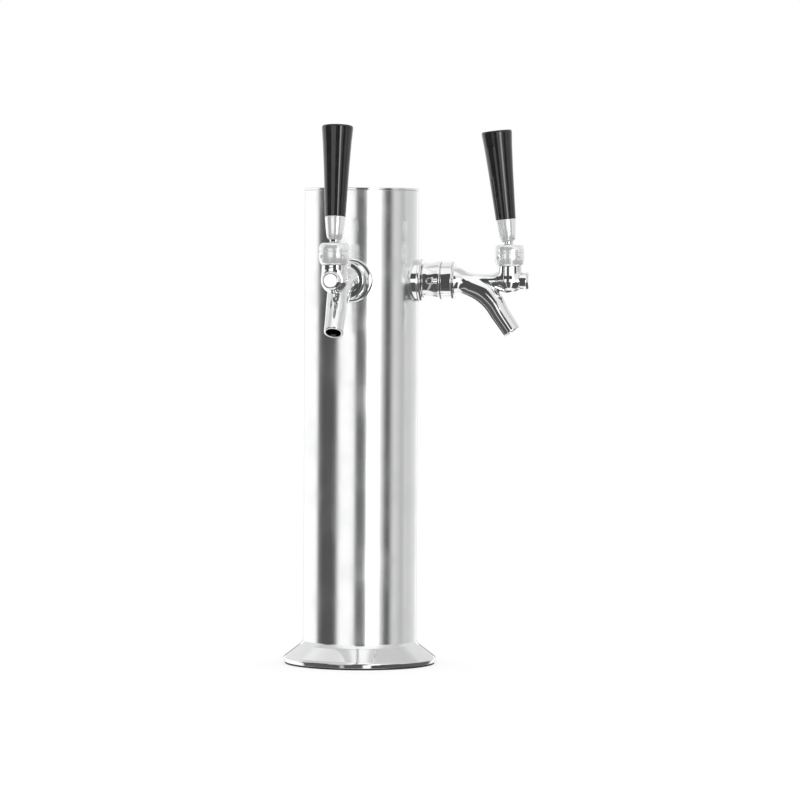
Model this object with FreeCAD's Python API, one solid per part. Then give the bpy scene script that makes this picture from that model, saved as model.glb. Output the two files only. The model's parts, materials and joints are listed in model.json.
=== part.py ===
import FreeCAD, Part
import math
import os
from FreeCAD import Vector

# Beer tap tower. Millimetres, +Z up, origin on the column's axis in the counter's plane.
# The customer's side is -Y. The two taps point 45 degrees to the left and right of it.

# ---- driving dimensions: tower ----
COLUMN_D = 101.6            # 4 inch tube
COLUMN_WALL = 1.5
TOWER_H = 424.0             # counter to the top of the cap
GASKET_T = 1.5
FLANGE_D = 137.0
FLANGE_TOP = 20.5           # where the bell meets the column
FLANGE_RIM_TOP = 4.8
RING_TOP = 6.0              # mounting ring inside the bell
RING_BORE_D = 88.0
BOLT_PCD = 114.0
BOLT_COUNT = 4
BOLT_TAP_D = 5.0            # M6 tapping size
CAP_T = 2.0
CAP_GAP = 0.3
CAP_SKIRT_H = 14.0
CAP_SKIRT_D = 97.4
SLEEVE_D = 97.0             # foam insulation
SLEEVE_BORE_D = 89.2
SLEEVE_TOP = 300.0

# ---- driving dimensions: taps (u runs outwards from the column's axis along the tap) ----
TAP_ANGLES = {"left": -135.0, "right": -45.0}
SHANK_Z = 342.0
SHANK_D = 22.2              # 7/8 inch thread
SHANK_BORE_D = 8.0
SHANK_INNER_END = 24.0
SHANK_HEAD = (58.4, 63.4)
COLLAR_D = 39.0
COLLAR_FRONT = 55.8
NUT_REAR, NUT_FRONT = 56.2, 72.8
SEAT_U = 89.0               # valve seat inside the body
RISER_U = 133.2             # vertical axis of the bonnet and lever
BOSS_END = 150.8
BULB_R = 11.3
SPOUT_ANGLE = 33.0          # from the vertical
SPOUT_END = (135.3, -45.0)
SPOUT_BORE_D = 13.0
CHANNEL_D = 10.8
BEND_R = 24.0
GUIDE_BORE_D = 8.1
GUIDE_D = 8.0
STEM_D = 4.8

# ---- driving dimensions: lever and handle (h runs up the lever from its pivot) ----
PIVOT_Z = 22.0              # above the shank's axis
LEVER_LEAN = -6.4           # closed, leaning back over the tap
BALL_R = 8.0
BALL_SEAT_R = 8.06
ARM_L = 19.5
TIP_R = 2.6
SLOT_HALF = 3.0
FERRULE_BOTTOM, FERRULE_TOP = 13.0, 32.8
GRIP_TOP = 111.6
GRIP_BOTTOM_R, GRIP_TOP_R = 9.1, 13.6

Z = Vector(0, 0, 1)
ORIGIN = Vector(0, 0, 0)


# ---------------------------------------------------------------- helpers
def turned(points):
    """Solid of revolution about Z from a closed outline of (radius, height) points."""
    wire = Part.makePolygon([Vector(r, 0, h) for r, h in list(points) + [points[0]]])
    return Part.Face(wire).revolve(ORIGIN, Z, 360)


def turned_curve(smooth, corners):
    """Solid of revolution whose outer outline is one smooth curve, closed through the corners."""
    curve = Part.BSplineCurve()
    curve.interpolate([Vector(r, 0, h) for r, h in smooth])
    rest = [smooth[-1]] + list(corners) + [smooth[0]]
    edges = [curve.toShape()]
    edges += [Part.makeLine(Vector(a[0], 0, a[1]), Vector(b[0], 0, b[1]))
              for a, b in zip(rest, rest[1:])]
    return Part.Face(Part.Wire(edges)).revolve(ORIGIN, Z, 360)


def along_u(shape):
    """Lay a piece turned about Z down, so that its height runs along the tap."""
    shape.rotate(ORIGIN, Vector(0, 1, 0), 90)
    return shape


def bar_u(radius, start, end):
    return Part.makeCylinder(radius, end - start, Vector(start, 0, 0), Vector(1, 0, 0))


def hexagon(across_flats, start, end):
    radius = across_flats / math.sqrt(3)
    corners = [Vector(start, radius * math.cos(math.radians(60 * i)), radius * math.sin(math.radians(60 * i)))
               for i in range(7)]
    return Part.Face(Part.makePolygon(corners)).extrude(Vector(end - start, 0, 0))


def around(shape, count, centre=ORIGIN, axis=Z):
    """The piece and its copies, evenly spaced around an axis."""
    copies = []
    for i in range(count):
        copy = shape.copy()
        copy.rotate(centre, axis, 360.0 * i / count)
        copies.append(copy)
    return copies


def rims(shape, radius, height):
    """Edges that are full circles about Z of this radius at this height."""
    found = []
    for edge in shape.Edges:
        curve = edge.Curve
        if isinstance(curve, Part.Circle) and abs(curve.Radius - radius) < 0.01 \
                and abs(curve.Center.z - height) < 0.01:
            found.append(edge)
    return found


def on_tap(shape, side):
    """Move a piece from the tap's own frame to its place on the tower."""
    shape.rotate(ORIGIN, Z, TAP_ANGLES[side])
    shape.translate(Vector(0, 0, SHANK_Z))
    return shape


def on_lever(shape):
    """Move a piece from the lever's own frame to the tap's, in the closed position."""
    shape.rotate(ORIGIN, Vector(0, 1, 0), LEVER_LEAN)
    shape.translate(Vector(RISER_U, 0, PIVOT_Z))
    return shape


# ---------------------------------------------------------------- tower
def column_tube():
    outer, inner = COLUMN_D / 2, COLUMN_D / 2 - COLUMN_WALL
    top = TOWER_H - CAP_T - CAP_GAP
    tube = turned([(inner, RING_TOP), (outer, RING_TOP), (outer, top), (inner, top)])
    for angle in TAP_ANGLES.values():
        hole = bar_u(SHANK_D / 2 + 0.5, 20, 70)
        hole.rotate(ORIGIN, Z, angle)
        hole.translate(Vector(0, 0, SHANK_Z))
        tube = tube.cut(hole)
    return tube


def base_flange():
    """Bell-shaped foot: a thin shell with an upright rim, a cone and a small cove at the column."""
    rim, bore = FLANGE_D / 2, COLUMN_D / 2 + 0.05
    outline = [
        (rim - 2.2, GASKET_T), (rim - 0.9, GASKET_T), (rim, GASKET_T + 1.0), (rim, FLANGE_RIM_TOP - 0.5),
        (rim - 0.45, FLANGE_RIM_TOP + 0.4), (53.6, 16.9), (52.1, 18.4), (51.3, 19.6), (bore + 0.1, FLANGE_TOP),
        (bore, FLANGE_TOP), (bore, 16.2), (rim - 2.2, 3.6),
    ]
    return turned(outline)


def base_mount_ring():
    """Steel ring in the bell, tapped from below for the bolts that hold the tower to the counter."""
    ring = turned([(RING_BORE_D / 2, GASKET_T), (62.6, GASKET_T), (62.6, RING_TOP), (RING_BORE_D / 2, RING_TOP)])
    hole = Part.makeCylinder(BOLT_TAP_D / 2, 10, Vector(BOLT_PCD / 2, 0, 0))
    hole.rotate(ORIGIN, Z, 45)
    return ring.cut(Part.makeCompound(around(hole, BOLT_COUNT)))


def base_gasket():
    ring = turned([(44.5, 0), (66.8, 0), (66.8, GASKET_T), (44.5, GASKET_T)])
    hole = Part.makeCylinder(3.4, 10, Vector(BOLT_PCD / 2, 0, -1))
    hole.rotate(ORIGIN, Z, 45)
    return ring.cut(Part.makeCompound(around(hole, BOLT_COUNT)))


def top_cap():
    """Flat lid with a skirt that slips into the column."""
    outer, skirt = COLUMN_D / 2, CAP_SKIRT_D / 2
    under = TOWER_H - CAP_T
    foot = under - CAP_SKIRT_H
    outline = [
        (0, under), (skirt - 1.8, under), (skirt - 1.8, foot), (skirt - 0.4, foot), (skirt, foot + 0.6),
        (skirt, foot + 4), (skirt - 0.7, foot + 4), (skirt - 0.7, foot + 7), (skirt, foot + 7),
        (skirt, under), (outer, under), (outer, TOWER_H), (0, TOWER_H),
    ]
    cap = turned(outline)
    return cap.makeFillet(0.9, rims(cap, outer, TOWER_H))


def cap_seal_ring():
    foot = TOWER_H - CAP_T - CAP_SKIRT_H
    inner, outer = CAP_SKIRT_D / 2 - 0.65, COLUMN_D / 2 - COLUMN_WALL - 0.1
    return turned([(inner, foot + 4.1), (outer - 0.3, foot + 4.1), (outer, foot + 4.6),
                   (outer, foot + 6.4), (outer - 0.3, foot + 6.9), (inner, foot + 6.9)])


def insulation_sleeve():
    inner, outer = SLEEVE_BORE_D / 2, SLEEVE_D / 2
    return turned([(inner, RING_TOP + 0.5), (outer, RING_TOP + 0.5), (outer, SLEEVE_TOP), (inner, SLEEVE_TOP)])


# ---------------------------------------------------------------- shank and its fittings
def shank():
    """Threaded tube through the column's wall, with the head that the coupling nut pulls on."""
    bore, thread = SHANK_BORE_D / 2, SHANK_D / 2
    start, end = SHANK_HEAD
    return along_u(turned([
        (bore, SHANK_INNER_END), (thread - 1, SHANK_INNER_END), (thread, SHANK_INNER_END + 1),
        (thread, start), (14.2, start), (14.6, start + 0.4), (14.6, end), (bore, end)]))


def shank_collar():
    """Cover ring outside the column, its back hollowed to the column's curve."""
    radius = COLLAR_D / 2
    ring = along_u(turned([
        (SHANK_D / 2 + 0.05, 40), (radius - 0.6, 40), (radius - 0.6, 52.2), (radius, 52.8), (radius, 54.0),
        (radius - 0.9, 55.2), (radius - 2.2, COLLAR_FRONT), (SHANK_D / 2 + 0.05, COLLAR_FRONT)]))
    return ring.cut(Part.makeCylinder(COLUMN_D / 2, 80, Vector(0, 0, -40)))


def shank_saddle_washer():
    inside = Part.makeCylinder(COLUMN_D / 2 - COLUMN_WALL, 80, Vector(0, 0, -40))
    disc = bar_u(17.0, 43.6, 55).cut(bar_u(SHANK_D / 2 + 0.1, 40, 60))
    return disc.common(inside)


def shank_locknut():
    nut = hexagon(32.0, 37.4, 43.5).cut(bar_u(SHANK_D / 2 + 0.05, 30, 50))
    return nut.common(along_u(turned([(0, 37.4), (16.6, 37.4), (18.6, 38.6), (18.6, 43.5), (0, 43.5)])))


def tailpiece():
    """Elbow below the shank's inner end, with a barbed foot for the beer line."""
    tube_r, bore_r, bend, drop_u = 4.75, 3.2, 6.0, 12.0
    foot = -44.0

    def path(radius):
        level = bar_u(radius, drop_u + bend, 21.9)
        corner = Part.makeTorus(bend, radius, Vector(drop_u + bend, 0, -bend), Vector(0, 1, 0))
        quarter = Part.makeBox(bend + 8, 20, bend + 8, Vector(drop_u - 8, -10, -bend))
        drop = Part.makeCylinder(radius, -bend - foot, Vector(drop_u, 0, foot))
        return level.fuse([corner.common(quarter), drop])

    barbs = []
    for i in range(3):
        low = foot + 1.0 + 6.5 * i
        cone = turned([(0, low), (4.6, low), (5.7, low + 4.4), (4.7, low + 4.8), (0, low + 4.8)])
        cone.translate(Vector(drop_u, 0, 0))
        barbs.append(cone)
    flange = bar_u(8.6, 20.2, 21.9)
    return path(tube_r).fuse(barbs + [flange]).cut(path(bore_r)).removeSplitter()


def tailpiece_washer():
    return bar_u(8.6, 22.0, 23.9).cut(bar_u(4.2, 20, 30))


def tailpiece_nut():
    body = hexagon(27.0, 17.0, 31.0)
    hollow = bar_u(SHANK_D / 2 + 0.05, 20.1, 40)
    neck = bar_u(5.4, 10, 30)
    bevel = along_u(turned([(0, 17.0), (13.8, 17.0), (15.7, 18.2), (15.7, 31.0), (0, 31.0)]))
    return body.common(bevel).cut(hollow).cut(neck)


def coupling_nut():
    """Slightly waisted ring nut with holes for a pin spanner."""
    outer = [(15.7, NUT_REAR + 0.3), (16.3, 57.2), (16.1, 60.5), (16.2, 64.0), (16.8, 68.0), (17.5, 70.6),
             (17.6, 71.6), (17.4, NUT_FRONT - 0.4)]
    corners = [(17.0, NUT_FRONT), (15.0, NUT_FRONT), (15.0, SHANK_HEAD[0] - 0.1), (11.5, SHANK_HEAD[0] - 0.1),
               (11.5, NUT_REAR), (15.4, NUT_REAR)]
    nut = along_u(turned_curve(outer, corners))
    hole = Part.makeCylinder(2.4, 8, Vector(63.2, 0, 12))
    return nut.cut(Part.makeCompound(around(hole, 4, ORIGIN, Vector(1, 0, 0))))


def coupling_gasket():
    return bar_u(12.4, SHANK_HEAD[1], 65.3).cut(bar_u(6.0, 60, 70))


# ---------------------------------------------------------------- faucet body
def spout_point(distance):
    """Point on the spout's straight centre line, this far back up from its end."""
    angle = math.radians(SPOUT_ANGLE)
    return Vector(SPOUT_END[0] - distance * math.sin(angle), 0, SPOUT_END[1] + distance * math.cos(angle))


def oval(centre, turn, in_plane, sideways):
    """Closed oval across the body. turn is how far the body has bent down from level here."""
    down = math.radians(turn)
    across = Vector(math.sin(down), 0, math.cos(down))
    side = Vector(0, 1, 0)
    axes = (across, side) if in_plane >= sideways else (side, across)
    big, small = max(in_plane, sideways), min(in_plane, sideways)
    ellipse = Part.Ellipse(centre + axes[0] * big, centre + axes[1] * small, centre)
    return Part.Wire([ellipse.toShape()])


def spout_outside():
    """Swan neck that leaves the ring level and bends down into the spout."""
    ovals = [
        oval(Vector(85.0, 0, 0.0), 0, 12.2, 12.1),
        oval(Vector(91.2, 0, -2.1), 2, 10.4, 10.3),
        oval(Vector(98.5, 0, -4.8), 15, 10.4, 10.0),
        oval(Vector(109.8, 0, -10.3), 37, 10.8, 9.9),
        oval(Vector(118.8, 0, -19.6), 55, 10.0, 9.3),
        oval(Vector(124.4, 0, -29.0), 57, 9.2, 8.9),
        oval(Vector(129.8, 0, -37.0), 57, 8.8, 8.6),
        oval(Vector(SPOUT_END[0], 0, SPOUT_END[1]), 57, 8.5, 8.4),
    ]
    return Part.makeLoft(ovals, True, False)


def barrel_outside():
    """Ring, tapering barrel and front boss, all turned about the shank's axis."""
    ring = [(0, 65.4), (14.4, 65.4), (14.4, 73.0), (16.4, 73.0), (17.25, 73.9), (17.25, 82.4), (16.4, 83.7)]
    taper = [(13.4, 84.7), (11.9, 86.6), (9.8, 90.3), (8.0, 95.0), (7.0, 99.8), (6.5, 106.6), (6.5, 116.1),
             (7.4, 121.9), (8.1, 127.6), (8.1, 141.8)]
    boss = [(7.3, 142.0), (7.3, 143.1), (8.1, 143.3), (8.1, 148.3), (7.6, 149.5), (6.6, 150.4),
            (5.0, BOSS_END), (0, BOSS_END)]
    return along_u(turned(ring + taper + boss))


def riser_outside():
    """Upright neck that carries the bonnet on its thread."""
    neck = turned([(0, -2), (11.3, -2), (11.3, 7.0), (10.9, 10.5), (10.6, 13.4), (9.3, 13.4), (9.3, 22.3), (0, 22.3)])
    neck.translate(Vector(RISER_U, 0, 0))
    bulb = Part.makeSphere(BULB_R, Vector(RISER_U, 0, 0))
    return neck.fuse(bulb)


def beer_way():
    """Everything that is hollow in the body: inlet, channel, spout bore, guide bore and lever socket."""
    angle = math.radians(90 - SPOUT_ANGLE)
    bend_from = SPOUT_END[0] - SPOUT_END[1] * -math.tan(math.radians(SPOUT_ANGLE)) - BEND_R * math.tan(angle / 2)
    inlet = bar_u(8.5, 60, SEAT_U)
    level = bar_u(CHANNEL_D / 2, SEAT_U - 1, bend_from)
    bend = Part.Face(Part.Wire([Part.makeCircle(CHANNEL_D / 2, Vector(bend_from, 0, 0), Vector(1, 0, 0))]))
    bend = bend.revolve(Vector(bend_from, 0, -BEND_R), Vector(0, 1, 0), math.degrees(angle))
    straight = -SPOUT_END[1] / math.cos(math.radians(SPOUT_ANGLE)) - BEND_R * math.tan(angle / 2)
    down = spout_point(-4) - spout_point(0)
    drop = Part.makeCylinder(CHANNEL_D / 2, straight + 4, spout_point(straight), down)
    mouth = Part.makeCylinder(SPOUT_BORE_D / 2, 29, spout_point(25), down)
    guide = bar_u(GUIDE_BORE_D / 2, 100, BOSS_END - 2.6)
    socket = Part.makeCylinder(8.3, 20, Vector(RISER_U, 0, 12.0))
    slots = [Part.makeBox(15.9, 2 * SLOT_HALF, 7.2, Vector(RISER_U - 10.3, -SLOT_HALF, -1.0)),
             Part.makeBox(14.5, 2 * SLOT_HALF, 6.2, Vector(RISER_U - 8.9, -SLOT_HALF, 6.0))]
    return inlet.fuse([level, bend, drop, mouth, guide, socket] + slots)


def faucet_body():
    outside = spout_outside().fuse([barrel_outside(), riser_outside()])
    return outside.cut(beer_way()).removeSplitter()


# ---------------------------------------------------------------- valve
def tip_u():
    """Where the lever's tip stands along the tap while the tap is closed."""
    return RISER_U - ARM_L * math.sin(math.radians(LEVER_LEAN))


def valve_shaft():
    """Stem and guide in one, with the slot that takes the lever's tip."""
    stem, guide = STEM_D / 2, GUIDE_D / 2
    rod = along_u(turned([
        (0, 82.0), (stem - 0.4, 82.0), (stem, 82.4), (stem, 88.8), (4.5, 88.8), (4.5, 90.2), (stem, 91.6),
        (stem, 120.0), (guide, 121.6), (guide, 147.2), (guide - 0.6, 147.8), (0, 147.8)]))
    slot = Part.makeBox(2 * SLOT_HALF, 12, 8, Vector(tip_u() - SLOT_HALF, -6, -0.5))
    return rod.cut(slot)


def seat_washer():
    return bar_u(7.2, 85.6, 88.7).cut(bar_u(STEM_D / 2 + 0.02, 80, 90))


def seat_nut():
    return hexagon(8.6, 82.7, 85.5).cut(bar_u(STEM_D / 2 + 0.02, 80, 90))


# ---------------------------------------------------------------- lever, bonnet and handle
def lever():
    """Ball with an arm down into the valve shaft and a threaded stem up into the ferrule."""
    ball = Part.makeSphere(BALL_R)
    arm = Part.makeCylinder(2.2, ARM_L, Vector(0, 0, -ARM_L))
    tip = Part.makeSphere(TIP_R, Vector(0, 0, -ARM_L))
    stem = turned([(0, 0), (3.4, 0), (3.4, 9.4), (4.3, 11.2), (4.3, FERRULE_BOTTOM), (4.7, FERRULE_BOTTOM + 0.4),
                   (4.7, 23.6), (4.2, 24.2), (0, 24.2)])
    return on_lever(ball.fuse([arm, tip, stem]))


def ball_seat():
    """Plastic cup below the lever's ball."""
    cup = turned([(6.6, 12.1), (8.25, 12.1), (8.25, 19.0), (5.2, 19.0), (5.2, 16.2)])
    cup.translate(Vector(RISER_U, 0, 0))
    return cup.cut(Part.makeSphere(BALL_SEAT_R, Vector(RISER_U, 0, PIVOT_Z)))


def friction_ring():
    """Plastic ring that the bonnet presses on the ball, so the lever stays where it is put."""
    ring = turned([(6.9, 22.5), (9.35, 22.5), (9.35, 27.5), (8.3, 27.5), (6.9, 25.6)])
    ring.translate(Vector(RISER_U, 0, 0))
    return ring.cut(Part.makeSphere(BALL_SEAT_R, Vector(RISER_U, 0, PIVOT_Z)))


def bonnet():
    """Cap nut around the lever's ball, with a fine groove and holes for a pin spanner."""
    nut = turned([
        (9.45, 13.6), (10.9, 13.6), (11.9, 14.4), (12.7, 16.6), (13.2, 19.6), (13.3, 24.4), (12.7, 24.8),
        (12.7, 25.3), (13.2, 25.7), (13.1, 28.6), (12.6, 30.6), (11.7, 31.8), (10.6, 32.4), (9.9, 32.4),
        (8.9, 31.0), (8.9, 27.6), (9.45, 27.6)])
    hole = Part.makeCylinder(1.5, 3.0, Vector(11.2, 0, 20.4), Vector(1, 0, 0))
    hole.rotate(ORIGIN, Z, 45)
    nut = nut.cut(Part.makeCompound(around(hole, 4)))
    nut.translate(Vector(RISER_U, 0, 0))
    return nut


def handle_ferrule():
    """Plated sleeve between the lever's stem and the grip."""
    outer = [(6.4, 14.3), (7.0, 15.8), (7.5, 18.0), (8.1, 23.0), (8.6, 28.0), (8.95, FERRULE_TOP - 0.4)]
    corners = [(8.6, FERRULE_TOP), (4.8, FERRULE_TOP), (4.8, FERRULE_BOTTOM), (5.0, FERRULE_BOTTOM)]
    return on_lever(turned_curve(outer, corners))


def handle_grip():
    """Black grip that widens gently to a flat top, with a spigot down into the ferrule."""
    low = FERRULE_TOP + 0.1
    outer = [(GRIP_BOTTOM_R, low + 0.4), (9.9, low + 20), (11.0, low + 42), (12.4, low + 64),
             (GRIP_TOP_R, GRIP_TOP - 1.2)]
    corners = [(GRIP_TOP_R - 0.4, GRIP_TOP - 0.3), (GRIP_TOP_R - 1.3, GRIP_TOP), (0, GRIP_TOP), (0, 24.6),
               (4.7, 24.6), (4.7, low), (GRIP_BOTTOM_R - 0.3, low)]
    return on_lever(turned_curve(outer, corners))


TOWER_PIECES = [column_tube, base_flange, base_mount_ring, base_gasket, top_cap, cap_seal_ring, insulation_sleeve]
TAP_PIECES = [shank, shank_collar, shank_saddle_washer, shank_locknut, tailpiece, tailpiece_washer, tailpiece_nut,
              coupling_nut, coupling_gasket, faucet_body, valve_shaft, seat_washer, seat_nut, lever, ball_seat,
              friction_ring, bonnet, handle_ferrule, handle_grip]


def export(name, shape):
    shape.exportStep("parts/" + name + ".step")
    print(name, "valid", shape.isValid(), "solids", len(shape.Solids), "volume", round(shape.Volume, 1))


os.makedirs("parts", exist_ok=True)
for make in TOWER_PIECES:
    export(make.__name__, make())
for make in TAP_PIECES:
    for side in TAP_ANGLES:
        export(side + "_" + make.__name__, on_tap(make(), side))
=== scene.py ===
"""Looks of the beer tap tower: polished column, spun foot and cap, two plated taps with black grips."""
import json
import logging
import math
from dataclasses import dataclass, field
from enum import Enum
from typing import Callable, Sequence

import bpy
import numpy as np
from mathutils import Matrix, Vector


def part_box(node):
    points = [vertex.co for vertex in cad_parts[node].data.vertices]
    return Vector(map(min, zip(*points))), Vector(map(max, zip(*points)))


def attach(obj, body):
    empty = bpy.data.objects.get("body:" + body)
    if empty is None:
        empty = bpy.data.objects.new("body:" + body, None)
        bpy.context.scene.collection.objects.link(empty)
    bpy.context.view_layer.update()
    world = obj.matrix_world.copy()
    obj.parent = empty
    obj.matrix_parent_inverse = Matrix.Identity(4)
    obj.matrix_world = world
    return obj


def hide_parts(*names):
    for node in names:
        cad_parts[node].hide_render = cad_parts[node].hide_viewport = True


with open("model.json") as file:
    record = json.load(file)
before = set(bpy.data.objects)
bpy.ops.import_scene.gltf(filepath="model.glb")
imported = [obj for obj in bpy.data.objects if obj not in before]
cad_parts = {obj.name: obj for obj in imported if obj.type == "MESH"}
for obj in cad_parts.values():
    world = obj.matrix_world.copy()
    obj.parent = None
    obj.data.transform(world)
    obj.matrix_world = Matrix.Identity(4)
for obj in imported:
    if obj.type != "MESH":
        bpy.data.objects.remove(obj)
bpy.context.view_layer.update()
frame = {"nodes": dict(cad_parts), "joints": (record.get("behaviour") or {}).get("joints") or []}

LOG = logging.getLogger("tap tower")
MM = 0.001
Array = np.ndarray
Profile = Sequence[tuple[float, float, float]]
SMOOTH = 99.0               # corner radius meaning "as large as the neighbours allow"
WEAR_REACH = 0.45           # how far wear spreads from a sharp edge, in mm
DIMPLE_WALL = 0.3           # width of the wall of a blind hole, in mm


# ------------------------------------------------------------------ outlines and turned surfaces
def unit(vectors: Array) -> Array:
    """Scale each row of an array of vectors to length one."""
    return vectors / np.maximum(np.linalg.norm(vectors, axis=-1, keepdims=True), 1e-12)


def hermite(x: Array, knots: Array, values: Array) -> Array:
    """Smooth curve through values at knots.

    Between two knots it is the cubic that has the values and the mean slopes at both ends.

    Args:
        x: where to read the curve; values past the ends are held.
        knots: increasing positions.
        values: the curve's value at each knot.

    Returns:
        The curve's values, in x's shape.
    """
    knots, values = np.asarray(knots, float), np.asarray(values, float)
    slopes = np.gradient(values, knots)
    x = np.clip(x, knots[0], knots[-1])
    i = np.clip(np.searchsorted(knots, x, side="right") - 1, 0, len(knots) - 2)
    width = knots[i + 1] - knots[i]
    s = (x - knots[i]) / width
    return (values[i] * (1 + 2 * s) * (1 - s) ** 2 + slopes[i] * width * s * (1 - s) ** 2
            + values[i + 1] * s * s * (3 - 2 * s) - slopes[i + 1] * width * s * s * (1 - s))


def rounded(profile: Profile, closed: bool, cell: float, steps: int = 6) -> tuple[Array, Array, Array]:
    """Outline with rounded corners, its normals and its edge wear.

    Each corner is the parabola between two points on its legs, at the corner's radius times the
    tangent of half the turn, and the normal is the direction of travel turned a quarter outwards.
    Wear is exp(-(distance to a sharp outward corner / WEAR_REACH) squared).

    Args:
        profile: corners as (radius, height, rounding) in mm, the material on the left of travel.
        closed: whether the last corner joins the first.
        cell: longest stretch between two samples, in mm.
        steps: number of stretches in one rounded corner.

    Returns:
        Samples (n, 2), normals (n, 2) and wear (n).
    """
    data = np.array(profile, float)
    corner, rounding = data[:, :2], data[:, 2]
    back, ahead = np.roll(corner, 1, 0) - corner, np.roll(corner, -1, 0) - corner
    if not closed:
        back[0], ahead[-1] = -ahead[0], -back[-1]
        rounding = rounding.copy()
        rounding[[0, -1]] = 0.0
    length_back, length_ahead = np.linalg.norm(back, axis=1), np.linalg.norm(ahead, axis=1)
    into, out = -unit(back), unit(ahead)
    turn = np.arccos(np.clip((into * out).sum(1), -1, 1))
    reach = np.minimum(rounding * np.tan(turn / 2), 0.49 * np.minimum(length_back, length_ahead))
    s = np.linspace(0, 1, steps + 1)[None, :, None]
    first, last = (corner - into * reach[:, None])[:, None], (corner + out * reach[:, None])[:, None]
    middle = corner[:, None]
    points = (1 - s) ** 2 * first + 2 * s * (1 - s) * middle + s * s * last
    travel = unit((1 - s) * into[:, None] + s * out[:, None])
    keep = np.broadcast_to((reach > 1e-6)[:, None], points.shape[:2]).copy()
    keep[:, steps // 2] = True
    points, travel = points[keep], travel[keep]
    sharp = (into[:, 0] * out[:, 1] - into[:, 1] * out[:, 0] > 0.25) & (reach < 1.3)
    if not closed:
        sharp[[0, -1]] = False
    if closed:
        points, travel = np.vstack([points, points[:1]]), np.vstack([travel, travel[:1]])
    run = np.concatenate([[0], np.cumsum(np.linalg.norm(np.diff(points, axis=0), axis=1))])
    stations = np.unique(np.concatenate([run, np.arange(0, run[-1], cell)]).round(5))
    stations = stations[np.concatenate([[True], np.diff(stations) > 0.004])]
    points = np.stack([np.interp(stations, run, points[:, k]) for k in (0, 1)], 1)
    travel = unit(np.stack([np.interp(stations, run, travel[:, k]) for k in (0, 1)], 1))
    if closed:
        points, travel = points[:-1], travel[:-1]
    normals = np.stack([travel[:, 1], -travel[:, 0]], 1)
    wear = np.zeros(len(points))
    if sharp.any():
        gap = np.linalg.norm(points[:, None] - corner[sharp][None], axis=2).min(1)
        wear = np.exp(-(gap / WEAR_REACH) ** 2)
    return points, normals, wear


@dataclass(frozen=True)
class Placement:
    """A place and a turn: own coordinates (mm) to the tower's (mm). axes holds the three own axes as rows."""

    axes: Array
    origin: Array

    def points(self, own: Array) -> Array:
        """Carry points from own coordinates to the tower's."""
        return own @ self.axes + self.origin

    def directions(self, own: Array) -> Array:
        """Carry directions from own coordinates to the tower's."""
        return own @ self.axes

    def within(self, outer: "Placement") -> "Placement":
        """This placement, itself placed in another one."""
        return Placement(self.axes @ outer.axes, outer.points(self.origin))


@dataclass
class Surface:
    """A mesh as arrays: points (mm), four- and three-sided faces, and values at the points."""

    points: Array
    quads: Array
    triangles: Array = field(default_factory=lambda: np.zeros((0, 3), int))
    normals: Array | None = None
    wear: Array | None = None
    turned: Array | None = None

    def placed(self, place: Placement) -> "Surface":
        """The same surface, carried to the tower's coordinates."""
        normals = None if self.normals is None else place.directions(self.normals)
        return Surface(place.points(self.points), self.quads, self.triangles, normals, self.wear, self.turned)


@dataclass(frozen=True)
class Dimples:
    """Round blind holes in a ring around a turned piece, for a pin spanner."""

    height: float
    radius: float
    depth: float
    count: int = 4
    first: float = 0.0

    def sunk(self, radius: Array, angle: Array, height: Array) -> Array:
        """How far each point of the turned surface is pushed in.

        The depth times a smooth step of the distance from the nearest hole's centre, measured on the
        surface. The step is the hole's wall.

        Args:
            radius: distance from the axis of each point.
            angle: direction around the axis of each point, in radians.
            height: height of each point.

        Returns:
            Depths in mm, in the arrays' common shape.
        """
        pitch = 2 * math.pi / self.count
        around = (angle - math.radians(self.first) + pitch / 2) % pitch - pitch / 2
        gap = np.hypot(around * radius, height - self.height)
        s = np.clip((self.radius + DIMPLE_WALL / 2 - gap) / DIMPLE_WALL, 0, 1)
        return self.depth * s * s * (3 - 2 * s)


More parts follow.
